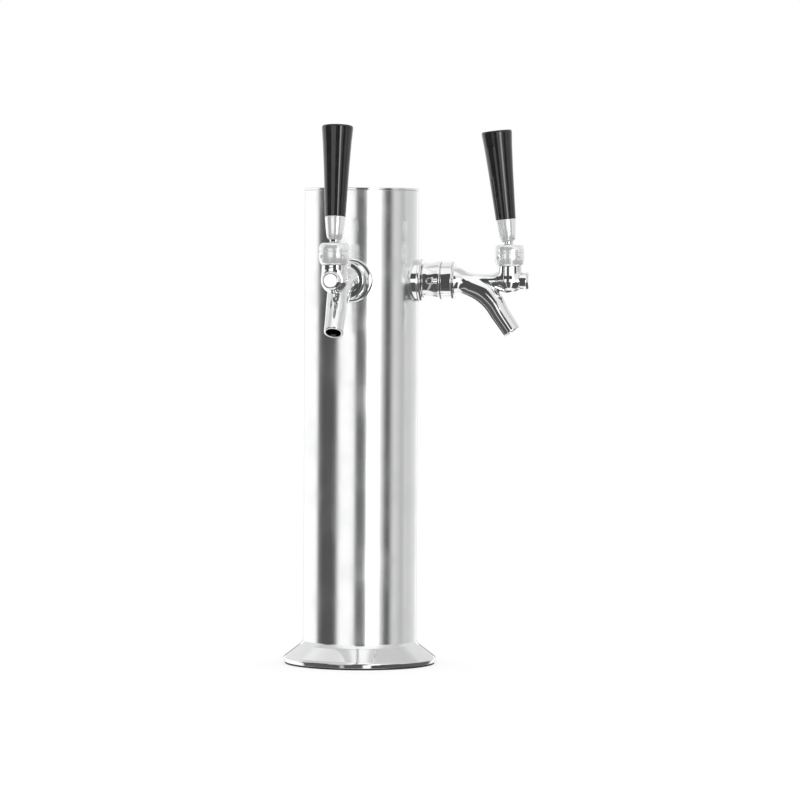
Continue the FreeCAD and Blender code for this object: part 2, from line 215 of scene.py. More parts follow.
def turned(profile: Profile, closed: bool = True, around: int = 128, cell: float = 1.0,
           dimples: Dimples | None = None) -> Surface:
    """Surface of revolution about the own Z axis.

    A point is (r cos a, r sin a, h), with (r, h) along the rounded outline and a around the axis. Where
    the outline starts or ends on the axis, one point closes it.

    Args:
        profile: corners of the outline, as rounded() takes them.
        closed: whether the outline is a closed loop, as for a ring.
        around: number of steps around the axis.
        cell: longest step along the outline, in mm.
        dimples: blind holes around the piece, if it has them.

    Returns:
        The closed surface.
    """
    line, flat_normals, wear = rounded(profile, closed, cell)
    angle = np.arange(around) * 2 * math.pi / around
    rows = len(line)
    radius = np.broadcast_to(line[:, :1], (rows, around)).copy()
    height = np.broadcast_to(line[:, 1:], (rows, around))
    if dimples is not None:
        outside = (flat_normals[:, :1] > 0.3) & (line[:, :1] > 0.6 * line[:, 0].max())
        radius -= np.where(outside, dimples.sunk(radius, angle[None], height), 0)
    points = np.stack([radius * np.cos(angle), radius * np.sin(angle), height], 2)
    normals = np.stack([flat_normals[:, :1] * np.cos(angle), flat_normals[:, :1] * np.sin(angle),
                        np.broadcast_to(flat_normals[:, 1:], (rows, around))], 2)
    values = np.stack([radius, height, np.zeros_like(radius)], 2)
    worn = np.broadcast_to(wear[:, None], (rows, around))
    index = np.arange(rows * around).reshape(rows, around)
    low = index if closed else index[:-1]
    high = np.roll(index, -1, 0) if closed else index[1:]
    quads = np.stack([low, np.roll(low, -1, 1), np.roll(high, -1, 1), high], 2)
    triangles = np.zeros((0, 3), int)
    flat = [x.reshape(-1, x.shape[-1]) for x in (points, normals, values)]
    worn = worn.reshape(-1)
    if not closed:
        # the first and last rows are on the axis: one point each
        quads = quads[1:-1]
        second, last = index[1], index[-2]
        start, end = index[0, 0], index[-1, 0]
        triangles = np.vstack([np.stack([np.full(around, start), np.roll(second, -1), second], 1),
                               np.stack([np.full(around, end), last, np.roll(last, -1)], 1)])
        used = np.concatenate([[start], index[1:-1].ravel(), [end]])
        renumber = np.zeros(rows * around, int)
        renumber[used] = np.arange(len(used))
        quads, triangles = renumber[quads], renumber[triangles]
        flat, worn = [x[used] for x in flat], worn[used]
    return Surface(flat[0], quads.reshape(-1, 4), triangles,
                   None if dimples is not None else flat[1], worn, flat[2])


# ------------------------------------------------------------------ cast surfaces from a distance field
def melt(a: Array, b: Array, width: float) -> Array:
    """Union of two solids given by distance, with a soft hollow where they meet.

    The smaller distance, less width/6 times the cube of how nearly equal the two are.

    Args:
        a: distances to the first solid, negative inside.
        b: distances to the second.
        width: size of the hollow, in mm.

    Returns:
        Distances to the union.
    """
    near = np.maximum(width - np.abs(a - b), 0) / width
    return np.minimum(a, b) - near ** 3 * width / 6


def carve(solid: Array, hollow: Array, width: float) -> Array:
    """Take one solid out of another, with the rim rounded over about the given width."""
    return -melt(-solid, hollow, width)


def skin(distance: Callable[[Array, Array, Array], Array], low: Array, high: Array, cell: float) -> Surface:
    """Closed surface where a distance function is zero.

    Each grid cube that the surface crosses gets one point, the mean of the crossings on its edges, and
    each crossed grid edge one face between its four cubes. The points then move to the surface along
    the function's slope, which also gives the normals.

    Args:
        distance: function of three coordinate arrays, negative inside.
        low: lowest corner of the box that holds the solid, in mm.
        high: highest corner.
        cell: width of a grid cube, in mm.

    Returns:
        The surface, with its normals.
    """
    axes = [np.arange(a, b + cell, cell) for a, b in zip(low, high)]
    value = distance(axes[0][:, None, None], axes[1][None, :, None], axes[2][None, None, :])
    inside = value < 0
    shape = tuple(n - 1 for n in value.shape)
    total, count = np.zeros(shape + (3,)), np.zeros(shape)
    for axis in range(3):
        one, two = [slice(None)] * 3, [slice(None)] * 3
        one[axis], two[axis] = slice(None, -1), slice(1, None)
        a, b = value[tuple(one)], value[tuple(two)]
        crossed = (a < 0) != (b < 0)
        part = np.where(crossed, a / np.where(crossed, a - b, 1), 0)
        others = [k for k in range(3) if k != axis]
        for i in (0, 1):
            for j in (0, 1):
                pick = [slice(None)] * 3
                pick[others[0]] = slice(i, i + shape[others[0]])
                pick[others[1]] = slice(j, j + shape[others[1]])
                hit = crossed[tuple(pick)]
                count += hit
                total[..., axis] += np.where(hit, part[tuple(pick)], 0)
                total[..., others[0]] += hit * i
                total[..., others[1]] += hit * j
    cubes = count > 0
    number = np.full(shape, -1)
    number[cubes] = np.arange(cubes.sum())
    corner = np.stack(np.nonzero(cubes), 1)
    points = np.array(low) + (corner + total[cubes] / count[cubes][:, None]) * cell
    faces = []
    for axis in range(3):
        second, third = (axis + 1) % 3, (axis + 2) % 3
        one, two = [slice(None)] * 3, [slice(None)] * 3
        one[axis], two[axis] = slice(None, -1), slice(1, None)
        for pick in (one, two):
            pick[second], pick[third] = slice(1, -1), slice(1, -1)
        a, b = inside[tuple(one)], inside[tuple(two)]
        at = np.stack(np.nonzero(a != b), 1)
        at[:, second] += 1
        at[:, third] += 1
        ring = []
        for i, j in ((1, 1), (0, 1), (0, 0), (1, 0)):
            cube = at.copy()
            cube[:, second] -= i
            cube[:, third] -= j
            ring.append(number[tuple(cube.T)])
        quad = np.stack(ring, 1)
        outwards = a[a != b]
        faces.append(np.where(outwards[:, None], quad, quad[:, ::-1]))
    step = 0.01
    for _ in range(4):
        slope = np.stack([
            distance(*(points + step * unit_row).T) - distance(*(points - step * unit_row).T)
            for unit_row in np.eye(3)], 1) / (2 * step)
        move = distance(*points.T)[:, None] * slope / np.maximum((slope ** 2).sum(1, keepdims=True), 0.05)
        points = points - np.clip(move, -0.4 * cell, 0.4 * cell)
    return Surface(points, np.vstack(faces), normals=unit(slope))


# ------------------------------------------------------------------ finishes
class Grain(Enum):
    """Marks that making or use leaves in a surface."""

    DRAWN = "fine lines along the tube"
    SPUN = "fine rings around the axis"
    CAST = "soft waviness of a buffed casting"
    MOULDED = "orange peel and hairlines"
    RUBBER = "matte, dusty"
    FOAM = "open cells"
    MATTE = "even and dull"


@dataclass(frozen=True)
class Finish:
    """One finish: colour, gloss and marks. Lengths in mm, heights of marks in micrometres."""

    name: str
    colour: tuple[float, float, float]
    second: tuple[float, float, float]
    metal: float
    rough: tuple[float, float]
    grain: Grain
    mark: float
    smudge: float = 30.0
    worn: float = 0.0
    coat: float = 0.0
    brushed: float = 0.0


MIRROR = (0.955, 0.957, 0.960)
FINISHES = {
    "column": Finish("polished drawn tube", MIRROR, (0.900, 0.905, 0.915), 1.0, (0.145, 0.205), Grain.DRAWN, 0.5,
                     45.0, brushed=0.8),
    "foot": Finish("spun polished steel", MIRROR, (0.885, 0.890, 0.900), 1.0, (0.05, 0.12), Grain.SPUN, 0.9, 22.0,
                   0.25),
    "cap": Finish("spun polished lid", MIRROR, (0.885, 0.890, 0.900), 1.0, (0.09, 0.17), Grain.SPUN, 0.7, 20.0, 0.25),
    "cast": Finish("buffed chrome casting", MIRROR, (0.890, 0.895, 0.905), 1.0, (0.018, 0.075), Grain.CAST, 9.0, 9.0,
                   0.0),
    "fitting": Finish("chromed turned fitting", MIRROR, (0.880, 0.885, 0.895), 1.0, (0.02, 0.085), Grain.SPUN, 0.5,
                      8.0, 0.35),
    "satin": Finish("satin chromed fitting", (0.930, 0.935, 0.940), (0.870, 0.875, 0.885), 0.62, (0.20, 0.29),
                    Grain.SPUN, 0.2, 8.0, 0.2),
    "grip": Finish("gloss black phenolic", (0.011, 0.011, 0.012), (0.020, 0.019, 0.019), 0.0, (0.055, 0.16),
                   Grain.MOULDED, 1.2, 9.0, 0.5, 0.35),
    "plated": Finish("plated brass", (0.83, 0.80, 0.74), (0.62, 0.56, 0.45), 1.0, (0.16, 0.32), Grain.MATTE, 1.5, 6.0),
    "steel": Finish("machined steel", (0.68, 0.67, 0.65), (0.47, 0.45, 0.42), 1.0, (0.22, 0.42), Grain.MATTE, 2.5,
                    7.0),
    "rubber": Finish("black rubber", (0.022, 0.022, 0.023), (0.055, 0.053, 0.050), 0.0, (0.62, 0.88), Grain.RUBBER,
                     18.0, 5.0),
    "nylon": Finish("white nylon", (0.80, 0.79, 0.75), (0.70, 0.68, 0.62), 0.0, (0.35, 0.55), Grain.MATTE, 3.0, 4.0),
    "foam": Finish("grey foam", (0.23, 0.23, 0.24), (0.12, 0.12, 0.125), 0.0, (0.85, 0.97), Grain.FOAM, 260.0, 12.0),
}


class Bench:
    """Adds nodes to one material's tree, which works in millimetres of the tower's own coordinates."""

    def __init__(self, tree: bpy.types.NodeTree) -> None:
        """Start from an empty tree with the coordinates scaled to millimetres."""
        self.tree = tree
        tree.nodes.clear()
        place = self.add("ShaderNodeTexCoord")
        self.where = self.vector("SCALE", place.outputs["Object"], scale=1000.0)

    def add(self, kind: str, inputs: dict[str | int, object] | None = None, **settings: object) -> bpy.types.Node:
        """Add a node; inputs that are sockets are linked, other inputs are set.

        Args:
            kind: the node type.
            inputs: what goes into its inputs, by name or number.
            settings: the properties of the node itself.

        Returns:
            The node.
        """
        node = self.tree.nodes.new(kind)
        for name, value in settings.items():
            setattr(node, name, value)
        for name, value in (inputs or {}).items():
            if isinstance(value, bpy.types.NodeSocket):
                self.tree.links.new(value, node.inputs[name])
            else:
                node.inputs[name].default_value = value
        return node

    def vector(self, operation: str, a: object, b: object = None, scale: float = 1.0) -> bpy.types.NodeSocket:
        """Result of vector arithmetic.

        Args:
            operation: what is done.
            a: first vector.
            b: second vector, if the operation has one.
            scale: the factor of SCALE.

        Returns:
            The socket with the result.
        """
        inputs = {0: a}
        if b is not None:
            inputs[1] = b
        if operation == "SCALE":
            inputs["Scale"] = scale
        return self.add("ShaderNodeVectorMath", inputs, operation=operation).outputs[0]

    def math(self, operation: str, a: object, b: object = 0.0, c: object = 0.0) -> bpy.types.NodeSocket:
        """Result of arithmetic on numbers."""
        return self.add("ShaderNodeMath", {0: a, 1: b, 2: c}, operation=operation).outputs[0]

    def noise(self, size: float, detail: float = 3.0, where: object = None,
              stretch: tuple[float, float, float] = (1, 1, 1)) -> bpy.types.NodeSocket:
        """Noise from 0 to 1 whose blobs are about size mm wide, times stretch along each axis.

        Args:
            size: width of a blob, in mm.
            detail: number of finer layers.
            where: coordinates, the tower's own if not given.
            stretch: how much longer the blobs are along each axis.

        Returns:
            The socket with the noise.
        """
        place = self.vector("MULTIPLY", where or self.where, tuple(1 / s for s in stretch))
        return self.add("ShaderNodeTexNoise", {"Vector": place, "Scale": 1 / size, "Detail": detail,
                                               "Roughness": 0.55}).outputs["Fac"]

    def between(self, value: object, low: float, high: float, out_low: float = 0.0,
                out_high: float = 1.0) -> bpy.types.NodeSocket:
        """Smooth step of a value from one range to another.

        Args:
            value: what is read.
            low: where the step starts.
            high: where it ends.
            out_low: result at and below low.
            out_high: result at and above high.

        Returns:
            The socket with the result.
        """
        return self.add("ShaderNodeMapRange", {"Value": value, "From Min": low, "From Max": high, "To Min": out_low,
                                               "To Max": out_high}, interpolation_type="SMOOTHSTEP").outputs[0]

    def mix(self, part: object, a: object, b: object) -> bpy.types.NodeSocket:
        """Blend of two colours.

        Args:
            part: share of the second colour.
            a: first colour.
            b: second colour.

        Returns:
            The socket with the colour.
        """
        node = self.add("ShaderNodeMix", data_type="RGBA")
        for socket, value in ((node.inputs[0], part), (node.inputs[6], a), (node.inputs[7], b)):
            if isinstance(value, bpy.types.NodeSocket):
                self.tree.links.new(value, socket)
            else:
                socket.default_value = value
        return node.outputs[2]

    def bump(self, height: object, micrometres: float, before: object = None) -> bpy.types.NodeSocket:
        """Normal bent by a height field of the given depth.

        Args:
            height: the field, from 0 to 1.
            micrometres: how high 1 stands.
            before: a normal that is already bent, if any.

        Returns:
            The socket with the normal.
        """
        inputs = {"Height": height, "Strength": 1.0, "Distance": micrometres * 1e-6}
        if before is not None:
            inputs["Normal"] = before
        return self.add("ShaderNodeBump", inputs).outputs[0]

    def hairlines(self, size: float, seed: float) -> bpy.types.NodeSocket:
        """Sparse thin scratches: where a long stretched noise passes its middle value, in patches.

        Args:
            size: distance between scratches, in mm.
            seed: direction of the scratches, in radians.

        Returns:
            The socket with the scratches, 1 on a line.
        """
        turned_place = self.add("ShaderNodeMapping", {"Vector": self.where, "Rotation": (seed, seed * 1.7, seed * 0.6)})
        line = self.noise(size, 1.0, turned_place.outputs[0], (1, 14, 14))
        thin = self.between(self.math("ABSOLUTE", self.math("SUBTRACT", line, 0.5)), 0.0, 0.006, 1.0, 0.0)
        patch = self.between(self.noise(size * 7, 2.0), 0.50, 0.62)
        return self.math("MULTIPLY", thin, patch)


class Dresser:
    """Makes each finish's material once and hands it out."""

    def __init__(self) -> None:
        """Start with no materials made."""
        self.made: dict[tuple[str, float], bpy.types.Material] = {}

    def material(self, key: str, turn: float = 0.0) -> bpy.types.Material:
        """Material of a finish.

        Args:
            key: name of the finish in FINISHES, or "shank" for the threaded one.
            turn: direction of the tap in radians, for a thread's coordinates.

        Returns:
            The material, made at the first call.
        """
        if (key, turn) not in self.made:
            self.made[key, turn] = self._make(FINISHES[key]) if key != "shank" else self._threaded(turn)
        return self.made[key, turn]

    def _start(self, name: str) -> tuple[Bench, bpy.types.Node]:
        """New material's tree and its main shader.

        Args:
            name: name of the material.

        Returns:
            The bench of its tree, and the shader.
        """
        material = bpy.data.materials.new(name)
        material.use_nodes = True
        bench = Bench(material.node_tree)
        shader = bench.add("ShaderNodeBsdfPrincipled")
        bench.tree.links.new(shader.outputs[0], bench.add("ShaderNodeOutputMaterial").inputs[0])
        self.latest = material
        return bench, shader

    def _grain(self, bench: Bench, finish: Finish) -> tuple[object, object]:
        """Height field of a finish's marks, and a finer second one.

        Args:
            bench: the bench of the material.
            finish: the finish whose marks are made.

        Returns:
            Both fields, as sockets.
        """
        around = bench.add("ShaderNodeAttribute", attribute_name="turned").outputs["Vector"]
        if finish.grain is Grain.DRAWN:
            return (bench.noise(0.35, 2.0, stretch=(1, 1, 260)), bench.noise(2.2, 2.0, stretch=(1, 1, 90)))
        if finish.grain is Grain.SPUN:
            return bench.noise(0.30, 2.0, around), bench.noise(1.6, 2.0, around)
        if finish.grain is Grain.CAST:
            return bench.noise(5.5, 1.0), bench.noise(0.5, 2.0)
        if finish.grain is Grain.MOULDED:
            return bench.noise(2.4, 1.0), bench.noise(0.35, 2.0)
        if finish.grain is Grain.FOAM:
            cells = bench.add("ShaderNodeTexVoronoi", {"Vector": bench.where, "Scale": 0.8}, feature="SMOOTH_F1")
            return cells.outputs["Distance"], bench.noise(0.5)
        return bench.noise(1.1, 3.0), bench.noise(0.25, 2.0)

    def _make(self, finish: Finish) -> bpy.types.Material:
        """Material with smudges, marks, hairlines and worn edges.

        Args:
            finish: colour, gloss and marks.

        Returns:
            The material.
        """
        bench, shader = self._start(finish.name)
        broad, fine = self._grain(bench, finish)
        smudge = bench.between(bench.noise(finish.smudge, 4.0), 0.42, 0.68)
        hair = bench.hairlines(1.4, 0.7)
        worn = bench.math("MULTIPLY", bench.add("ShaderNodeAttribute", attribute_name="wear").outputs["Fac"],
                          bench.between(bench.noise(2.5, 3.0), 0.35, 0.65))
        worn = bench.math("MULTIPLY", worn, finish.worn)
        mark = bench.math("MAXIMUM", bench.math("MULTIPLY", smudge, 0.6), worn)
        mark = bench.math("MAXIMUM", mark, bench.math("MULTIPLY", hair, 0.55))
        low, high = finish.rough
        spread = bench.math("ADD", bench.math("MULTIPLY", fine, 0.25), mark)
        rough = bench.between(spread, 0.05, 1.1, low, high)
        bench.tree.links.new(rough, shader.inputs["Roughness"])
        tone = bench.mix(mark, finish.colour + (1,), finish.second + (1,))
        bench.tree.links.new(tone, shader.inputs["Base Color"])
        normal = bench.bump(broad, finish.mark)
        normal = bench.bump(fine, finish.mark * 0.25, normal)
        if finish.metal > 0.5 or finish.coat:
            normal = bench.bump(hair, -0.5, normal)
        bench.tree.links.new(normal, shader.inputs["Normal"])
        shader.inputs["Metallic"].default_value = finish.metal
        if finish.brushed:
            # the lines run up the tube, so light spreads around it
            shader.inputs["Anisotropic"].default_value = finish.brushed
            facing = bench.add("ShaderNodeNewGeometry").outputs["Normal"]
            bench.tree.links.new(bench.vector("CROSS_PRODUCT", (0.0, 0.0, 1.0), facing), shader.inputs["Tangent"])
        if finish.coat:
            shader.inputs["Coat Weight"].default_value = finish.coat
            shader.inputs["Coat Roughness"].default_value = 0.03
        return self.latest

    def _threaded(self, turn: float) -> bpy.types.Material:
        """Plated thread: a triangle wave 1.4 mm long along the tap, tarnished in its roots.

        Args:
            turn: direction of the tap, in radians.

        Returns:
            The material.
        """
        base = FINISHES["plated"]
        bench, shader = self._start("threaded plated brass")
        along = bench.vector("DOT_PRODUCT", bench.where, (math.cos(turn), math.sin(turn), 0.0))
        along = along.node.outputs["Value"]
        wave = bench.math("PINGPONG", along, 0.7)
        root = bench.between(wave, 0.0, 0.35, 1.0, 0.0)
        grime = bench.math("MULTIPLY", root, bench.between(bench.noise(3.0), 0.3, 0.6, 0.3, 1.0))
        bench.tree.links.new(bench.mix(grime, base.colour + (1,), base.second + (1,)), shader.inputs["Base Color"])
        bench.tree.links.new(bench.between(bench.math("ADD", grime, bench.noise(1.0)), 0.2, 1.5, *base.rough),
                             shader.inputs["Roughness"])
        normal = bench.bump(wave, 500.0)
        bench.tree.links.new(bench.bump(bench.noise(0.3), 3.0, normal), shader.inputs["Normal"])
        shader.inputs["Metallic"].default_value = 1.0
        return self.latest


# ------------------------------------------------------------------ pieces
class Shop:
    """Turns surfaces into pieces of the tower and dresses the inner CAD pieces."""

    def __init__(self) -> None:
        """Start with no materials made."""
        self.dresser = Dresser()

    def piece(self, name: str, surface: Surface, finish: str, body: str, slot: str,
              *stands_for: str) -> bpy.types.Object:
        """Make one piece of the tower.

        Args:
            name: the piece's name.
            surface: its surface in the tower's coordinates, in mm.
            finish: name of its finish.
            body: the moving body that it rides on.
            slot: not used.
            stands_for: the CAD nodes that it stands for.

        Returns:
            The object.
        """
        mesh = bpy.data.meshes.new(name)
        mesh.from_pydata((surface.points * MM).tolist(), [], surface.quads.tolist() + surface.triangles.tolist())
        mesh.polygons.foreach_set("use_smooth", np.ones(len(mesh.polygons), bool))
        if surface.wear is not None:
            mesh.attributes.new("wear", "FLOAT", "POINT").data.foreach_set("value", surface.wear.astype(np.float32))
        if surface.turned is not None:
            mesh.attributes.new("turned", "FLOAT_VECTOR", "POINT").data.foreach_set(
                "vector", surface.turned.astype(np.float32).ravel())
        mesh.update()
        if surface.normals is not None:
            mesh.normals_split_custom_set_from_vertices(surface.normals.tolist())
        piece = bpy.data.objects.new(name, mesh)
        bpy.context.scene.collection.objects.link(piece)
        mesh.materials.append(self.dresser.material(finish))
        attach(piece, body)
        if stands_for:
            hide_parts(*stands_for)
        LOG.info("%s: %d points, %d faces", name, len(mesh.vertices), len(mesh.polygons))
        return piece

    def dress(self, node: str, finish: str, turn: float = 0.0) -> None:
        """Give a carried-over CAD node its material.

        Args:
            node: name of the CAD node.
            finish: name of its finish.
            turn: direction of its tap, in radians, for a thread.
        """
        materials = frame["nodes"][node].data.materials
        materials.clear()
        materials.append(self.dresser.material(finish, turn))
        LOG.info("%s: dressed as %s", node, finish)


def box_mm(node: str) -> tuple[Array, Array]:
    """Lowest and highest corner of a CAD node, in mm."""
    low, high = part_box(node)
    return np.array(low) / MM, np.array(high) / MM


@dataclass
class Tower:
    """Column, foot and cap: everything that stands still around the two taps, and the lid."""

    tube_wall: float = 1.5
    foot_rim: float = 3.6
    foot_bore_gap: float = 0.05
    cap_skirt: float = 48.7
    cap_wall: float = 1.8
    cap_skirt_h: float = 14.0

    def column(self, shop: Shop) -> None:
        """Polished tube: a closed ring outline turned about the tower's axis.

        Args:
            shop: makes the piece.
        """
        low, high = box_mm("column_tube")
        outer, inner = high[0], high[0] - self.tube_wall
        outline = [(inner, low[2], 0.2), (outer, low[2], 0.3), (outer, high[2], 0.35), (inner, high[2], 0.35)]
        shop.piece("column", turned(outline, around=256, cell=6.0), "column", "tower", "column", "column_tube")

    def foot(self, shop: Shop) -> None:
        """Bell foot: upright rim, straight cone and a small cove that runs up the column.

        Args:
            shop: makes the piece.
        """
        low, high = box_mm("base_flange")
        rim, bore = high[0], box_mm("column_tube")[1][0] + self.foot_bore_gap
        under, top = low[2], high[2]
        outline = [
            (rim - 2.6, under, 0.2), (rim - 1.5, under, 0.5), (rim, under + self.foot_rim, 1.2),
            (rim - 1.9, under + self.foot_rim + 1.9, 2.0),
            (bore + 2.2, top - 3.2, 5.0), (bore + 0.45, top - 0.7, 2.5), (bore + 0.1, top, 0.05), (bore, top, 0.05),
            (bore, top - 4.3, 0.5), (rim - 2.6, under + 2.6, 0.5),
        ]
        shop.piece("foot", turned(outline, around=256, cell=0.8), "foot", "tower", "foot", "base_flange")

    def cap(self, shop: Shop) -> None:
        """Flat lid with a rounded edge, and a skirt with a groove for the seal ring.

        Args:
            shop: makes the piece.
        """
        low, high = box_mm("top_cap")
        outer, top, foot, skirt = high[0], high[2], low[2], self.cap_skirt
        under = foot + self.cap_skirt_h
        outline = [
            (0, under, 0), (skirt - self.cap_wall, under, 0.5), (skirt - self.cap_wall, foot, 0.3),
            (skirt, foot, 0.5), (skirt, foot + 4, 0.1), (skirt - 0.7, foot + 4, 0.1), (skirt - 0.7, foot + 7, 0.1),
            (skirt, foot + 7, 0.1), (skirt, under, 0.1), (outer, under, 0.15), (outer, top, 0.9), (0, top, 0),
        ]
        shop.piece("cap", turned(outline, closed=False, around=256, cell=1.2), "cap", "cap", "cap", "top_cap")

    def inside(self, shop: Shop) -> None:
        """Dress the parts inside the column and the foot.

        Args:
            shop: dresses the pieces.
        """
        shop.dress("base_mount_ring", "steel")
        shop.dress("base_gasket", "rubber")
        shop.dress("cap_seal_ring", "rubber")
        shop.dress("insulation_sleeve", "foam")


@dataclass(frozen=True)
class SwanNeck:
    """Bent oval neck of the casting: centres (u, w), half heights in its plane and half widths across it."""

    along: tuple[float, ...] = (83.0, 85.0, 91.2, 98.5, 109.8, 118.8, 124.4, 129.8, 135.3)
    level: tuple[float, ...] = (0.2, 0.0, -2.1, -4.8, -10.3, -19.6, -29.0, -37.0, -45.0)
    high: tuple[float, ...] = (12.3, 12.2, 10.4, 10.4, 10.8, 10.0, 9.2, 8.8, 8.5)
    wide: tuple[float, ...] = (12.2, 12.1, 10.3, 10.0, 9.9, 9.3, 8.9, 8.6, 8.4)

    def distance(self, u: Array, v: Array, w: Array) -> Array:
        """Distance from the neck's surface.

        The nearest point of the smooth centre line gives the oval's half sizes; the distance is the
        oval's own radius coordinate less one, times its smaller half size.

        Args:
            u: along the tap.
            v: across the tap.
            w: up.

        Returns:
            Distances, negative inside.
        """
        corners = np.stack([self.along, self.level], 1)
        knots = np.concatenate([[0], np.cumsum(np.linalg.norm(np.diff(corners, axis=0), axis=1))])
        s = np.linspace(0, knots[-1], 161)
        line = [hermite(s, knots, np.array(x)) for x in (self.along, self.level, self.high, self.wide)]
        du, dw = np.gradient(line[0], s), np.gradient(line[1], s)
        pace = np.hypot(du, dw)
        du, dw = du / pace, dw / pace
        gap = (u[..., None] - line[0]) ** 2 + (w[..., None] - line[1]) ** 2
        near = gap.argmin(-1)
        at = s[near] + (u - line[0][near]) * du[near] + (w - line[1][near]) * dw[near]
        at = np.clip(at, 0, s[-1])
        cu, cw, high, wide, tu, tw = (np.interp(at, s, x) for x in (*line, du, dw))
        offset = (w - cw) * tu - (u - cu) * tw
        return (np.sqrt((offset / high) ** 2 + (v / wide) ** 2) - 1) * np.minimum(high, wide)


@dataclass(frozen=True)
class Casting:
    """The tap's cast body: barrel, swan neck with spout, and bulb with the riser under the bonnet."""

    start: float = 84.0
    riser_u: float = 133.2
    bulb: float = 11.3
    end: tuple[float, float] = (135.3, -45.0)
    lean: float = 33.0
    mouth: float = 6.5
    channel: float = 5.4
    bend: float = 24.0
    riser_hollow: float = 1.5
    neck_hollow: float = 2.5
    bulb_hollow: float = 5.0
    spout_rim: float = 0.9
    neck: SwanNeck = SwanNeck()
    barrel: tuple[tuple[float, float], ...] = (
        (83.0, 12.9), (84.7, 12.5), (86.6, 11.7), (90.3, 9.8), (95.0, 8.0), (99.8, 7.0), (106.6, 6.5), (116.1, 6.5),
        (121.9, 7.3), (127.6, 7.9), (141.0, 7.9))
    riser: tuple[tuple[float, float], ...] = ((-3.0, 10.6), (0.0, 11.0), (5.0, 11.0), (9.0, 10.8), (13.4, 10.6))

    def outside(self, u: Array, v: Array, w: Array) -> Array:
        """Distance from the casting's outer surface.

        The barrel and the riser are turned shapes, whose distance is the distance from the axis less the
        smooth radius there. They melt into the neck and the bulb with soft hollows.

        Args:
            u: along the tap.
            v: across the tap.
            w: up.

        Returns:
            Distances, negative inside.
        """
        knots = np.array(self.barrel)
        barrel = np.hypot(v, w) - hermite(u, knots[:, 0], knots[:, 1])
        barrel = np.maximum(barrel, u - knots[-1, 0])
        neck = self.neck.distance(u, v, w)
        knots = np.array(self.riser)
        from_riser = np.hypot(u - self.riser_u, v)
        riser = np.maximum(from_riser - hermite(w, knots[:, 0], knots[:, 1]), np.maximum(w - knots[-1, 0], -2 - w))
        thread = np.maximum(from_riser - 9.2, np.maximum(w - 22.3, -w))
        bulb = np.sqrt((u - self.riser_u) ** 2 + v ** 2 + w ** 2) - self.bulb
        bulb = melt(bulb, riser, self.riser_hollow)
        body = melt(melt(barrel, neck, self.neck_hollow), bulb, self.bulb_hollow)
        body = np.minimum(body, thread)
        down = (math.sin(math.radians(self.lean)), -math.cos(math.radians(self.lean)))
        past = (u - self.end[0]) * down[0] + (w - self.end[1]) * down[1]
        body = -melt(-body, -past, 1.6)
        return np.maximum(body, self.start - u)

    def hollow(self, u: Array, v: Array, w: Array) -> tuple[Array, Array]:
        """Distances from the spout's bore, and from all the other hollows together.

        Args:
            u: along the tap.
            v: across the tap.
            w: up.

        Returns:
            Both distances, negative in the hollow.
        """
        lean = math.radians(self.lean)
        down = (math.sin(lean), -math.cos(lean))
        side = (-down[1], down[0])
        along = (u - self.end[0]) * down[0] + (w - self.end[1]) * down[1]
        off = (u - self.end[0]) * side[0] + (w - self.end[1]) * side[1]
        from_spout = np.hypot(off, v)
        spout = np.maximum(from_spout - self.mouth, -25 - along)
        bend_turn = math.pi / 2 - lean
        bend_from = self.end[0] + self.end[1] * math.tan(lean) - self.bend * math.tan(bend_turn / 2)
        straight = -self.end[1] / math.cos(lean) - self.bend * math.tan(bend_turn / 2)
        drop = np.maximum(from_spout - self.channel, -straight - along)
        from_level = np.hypot(v, w)
        level = np.maximum(from_level - self.channel, np.maximum(88 - u, u - bend_from))
        cu, cw = u - bend_from, w + self.bend
        bend = np.hypot(np.hypot(cu, cw) - self.bend, v) - self.channel
        bend = np.maximum(bend, np.maximum(-cu, cu * down[0] + cw * down[1]))
        inlet = np.maximum(from_level - 8.5, u - 89)
        guide = np.maximum(from_level - 4.05, 100 - u)
        from_riser = np.hypot(u - self.riser_u, v)
        socket = np.maximum(from_riser - 8.3, 12 - w)
        ahead = u - self.riser_u
        slot = np.minimum(np.maximum(np.abs(ahead + 2.35) - 7.95, np.abs(w - 2.6) - 3.6),
                          np.maximum(np.abs(ahead + 1.65) - 7.25, np.abs(w - 9.0) - 3.4))
        slot = np.maximum(slot, np.abs(v) - 3.0)
        rest = np.minimum.reduce(np.broadcast_arrays(drop, level, bend, inlet, guide, socket, slot))
        return spout, rest

    def distance(self, u: Array, v: Array, w: Array) -> Array:
        """Distance from the whole casting: the outside less the hollows, the spout's rim rounded."""
        spout, rest = self.hollow(u, v, w)
        return np.maximum(carve(self.outside(u, v, w), spout, self.spout_rim), -rest)

    def surface(self) -> Surface:
        """The casting's closed surface, in the tap's own coordinates."""
        low = np.array([self.start - 1.3, -13.6, -51.5])
        high = np.array([self.riser_u + self.bulb + 1.5, 13.6, 24.0])
        return skin(self.distance, low, high, 0.5)


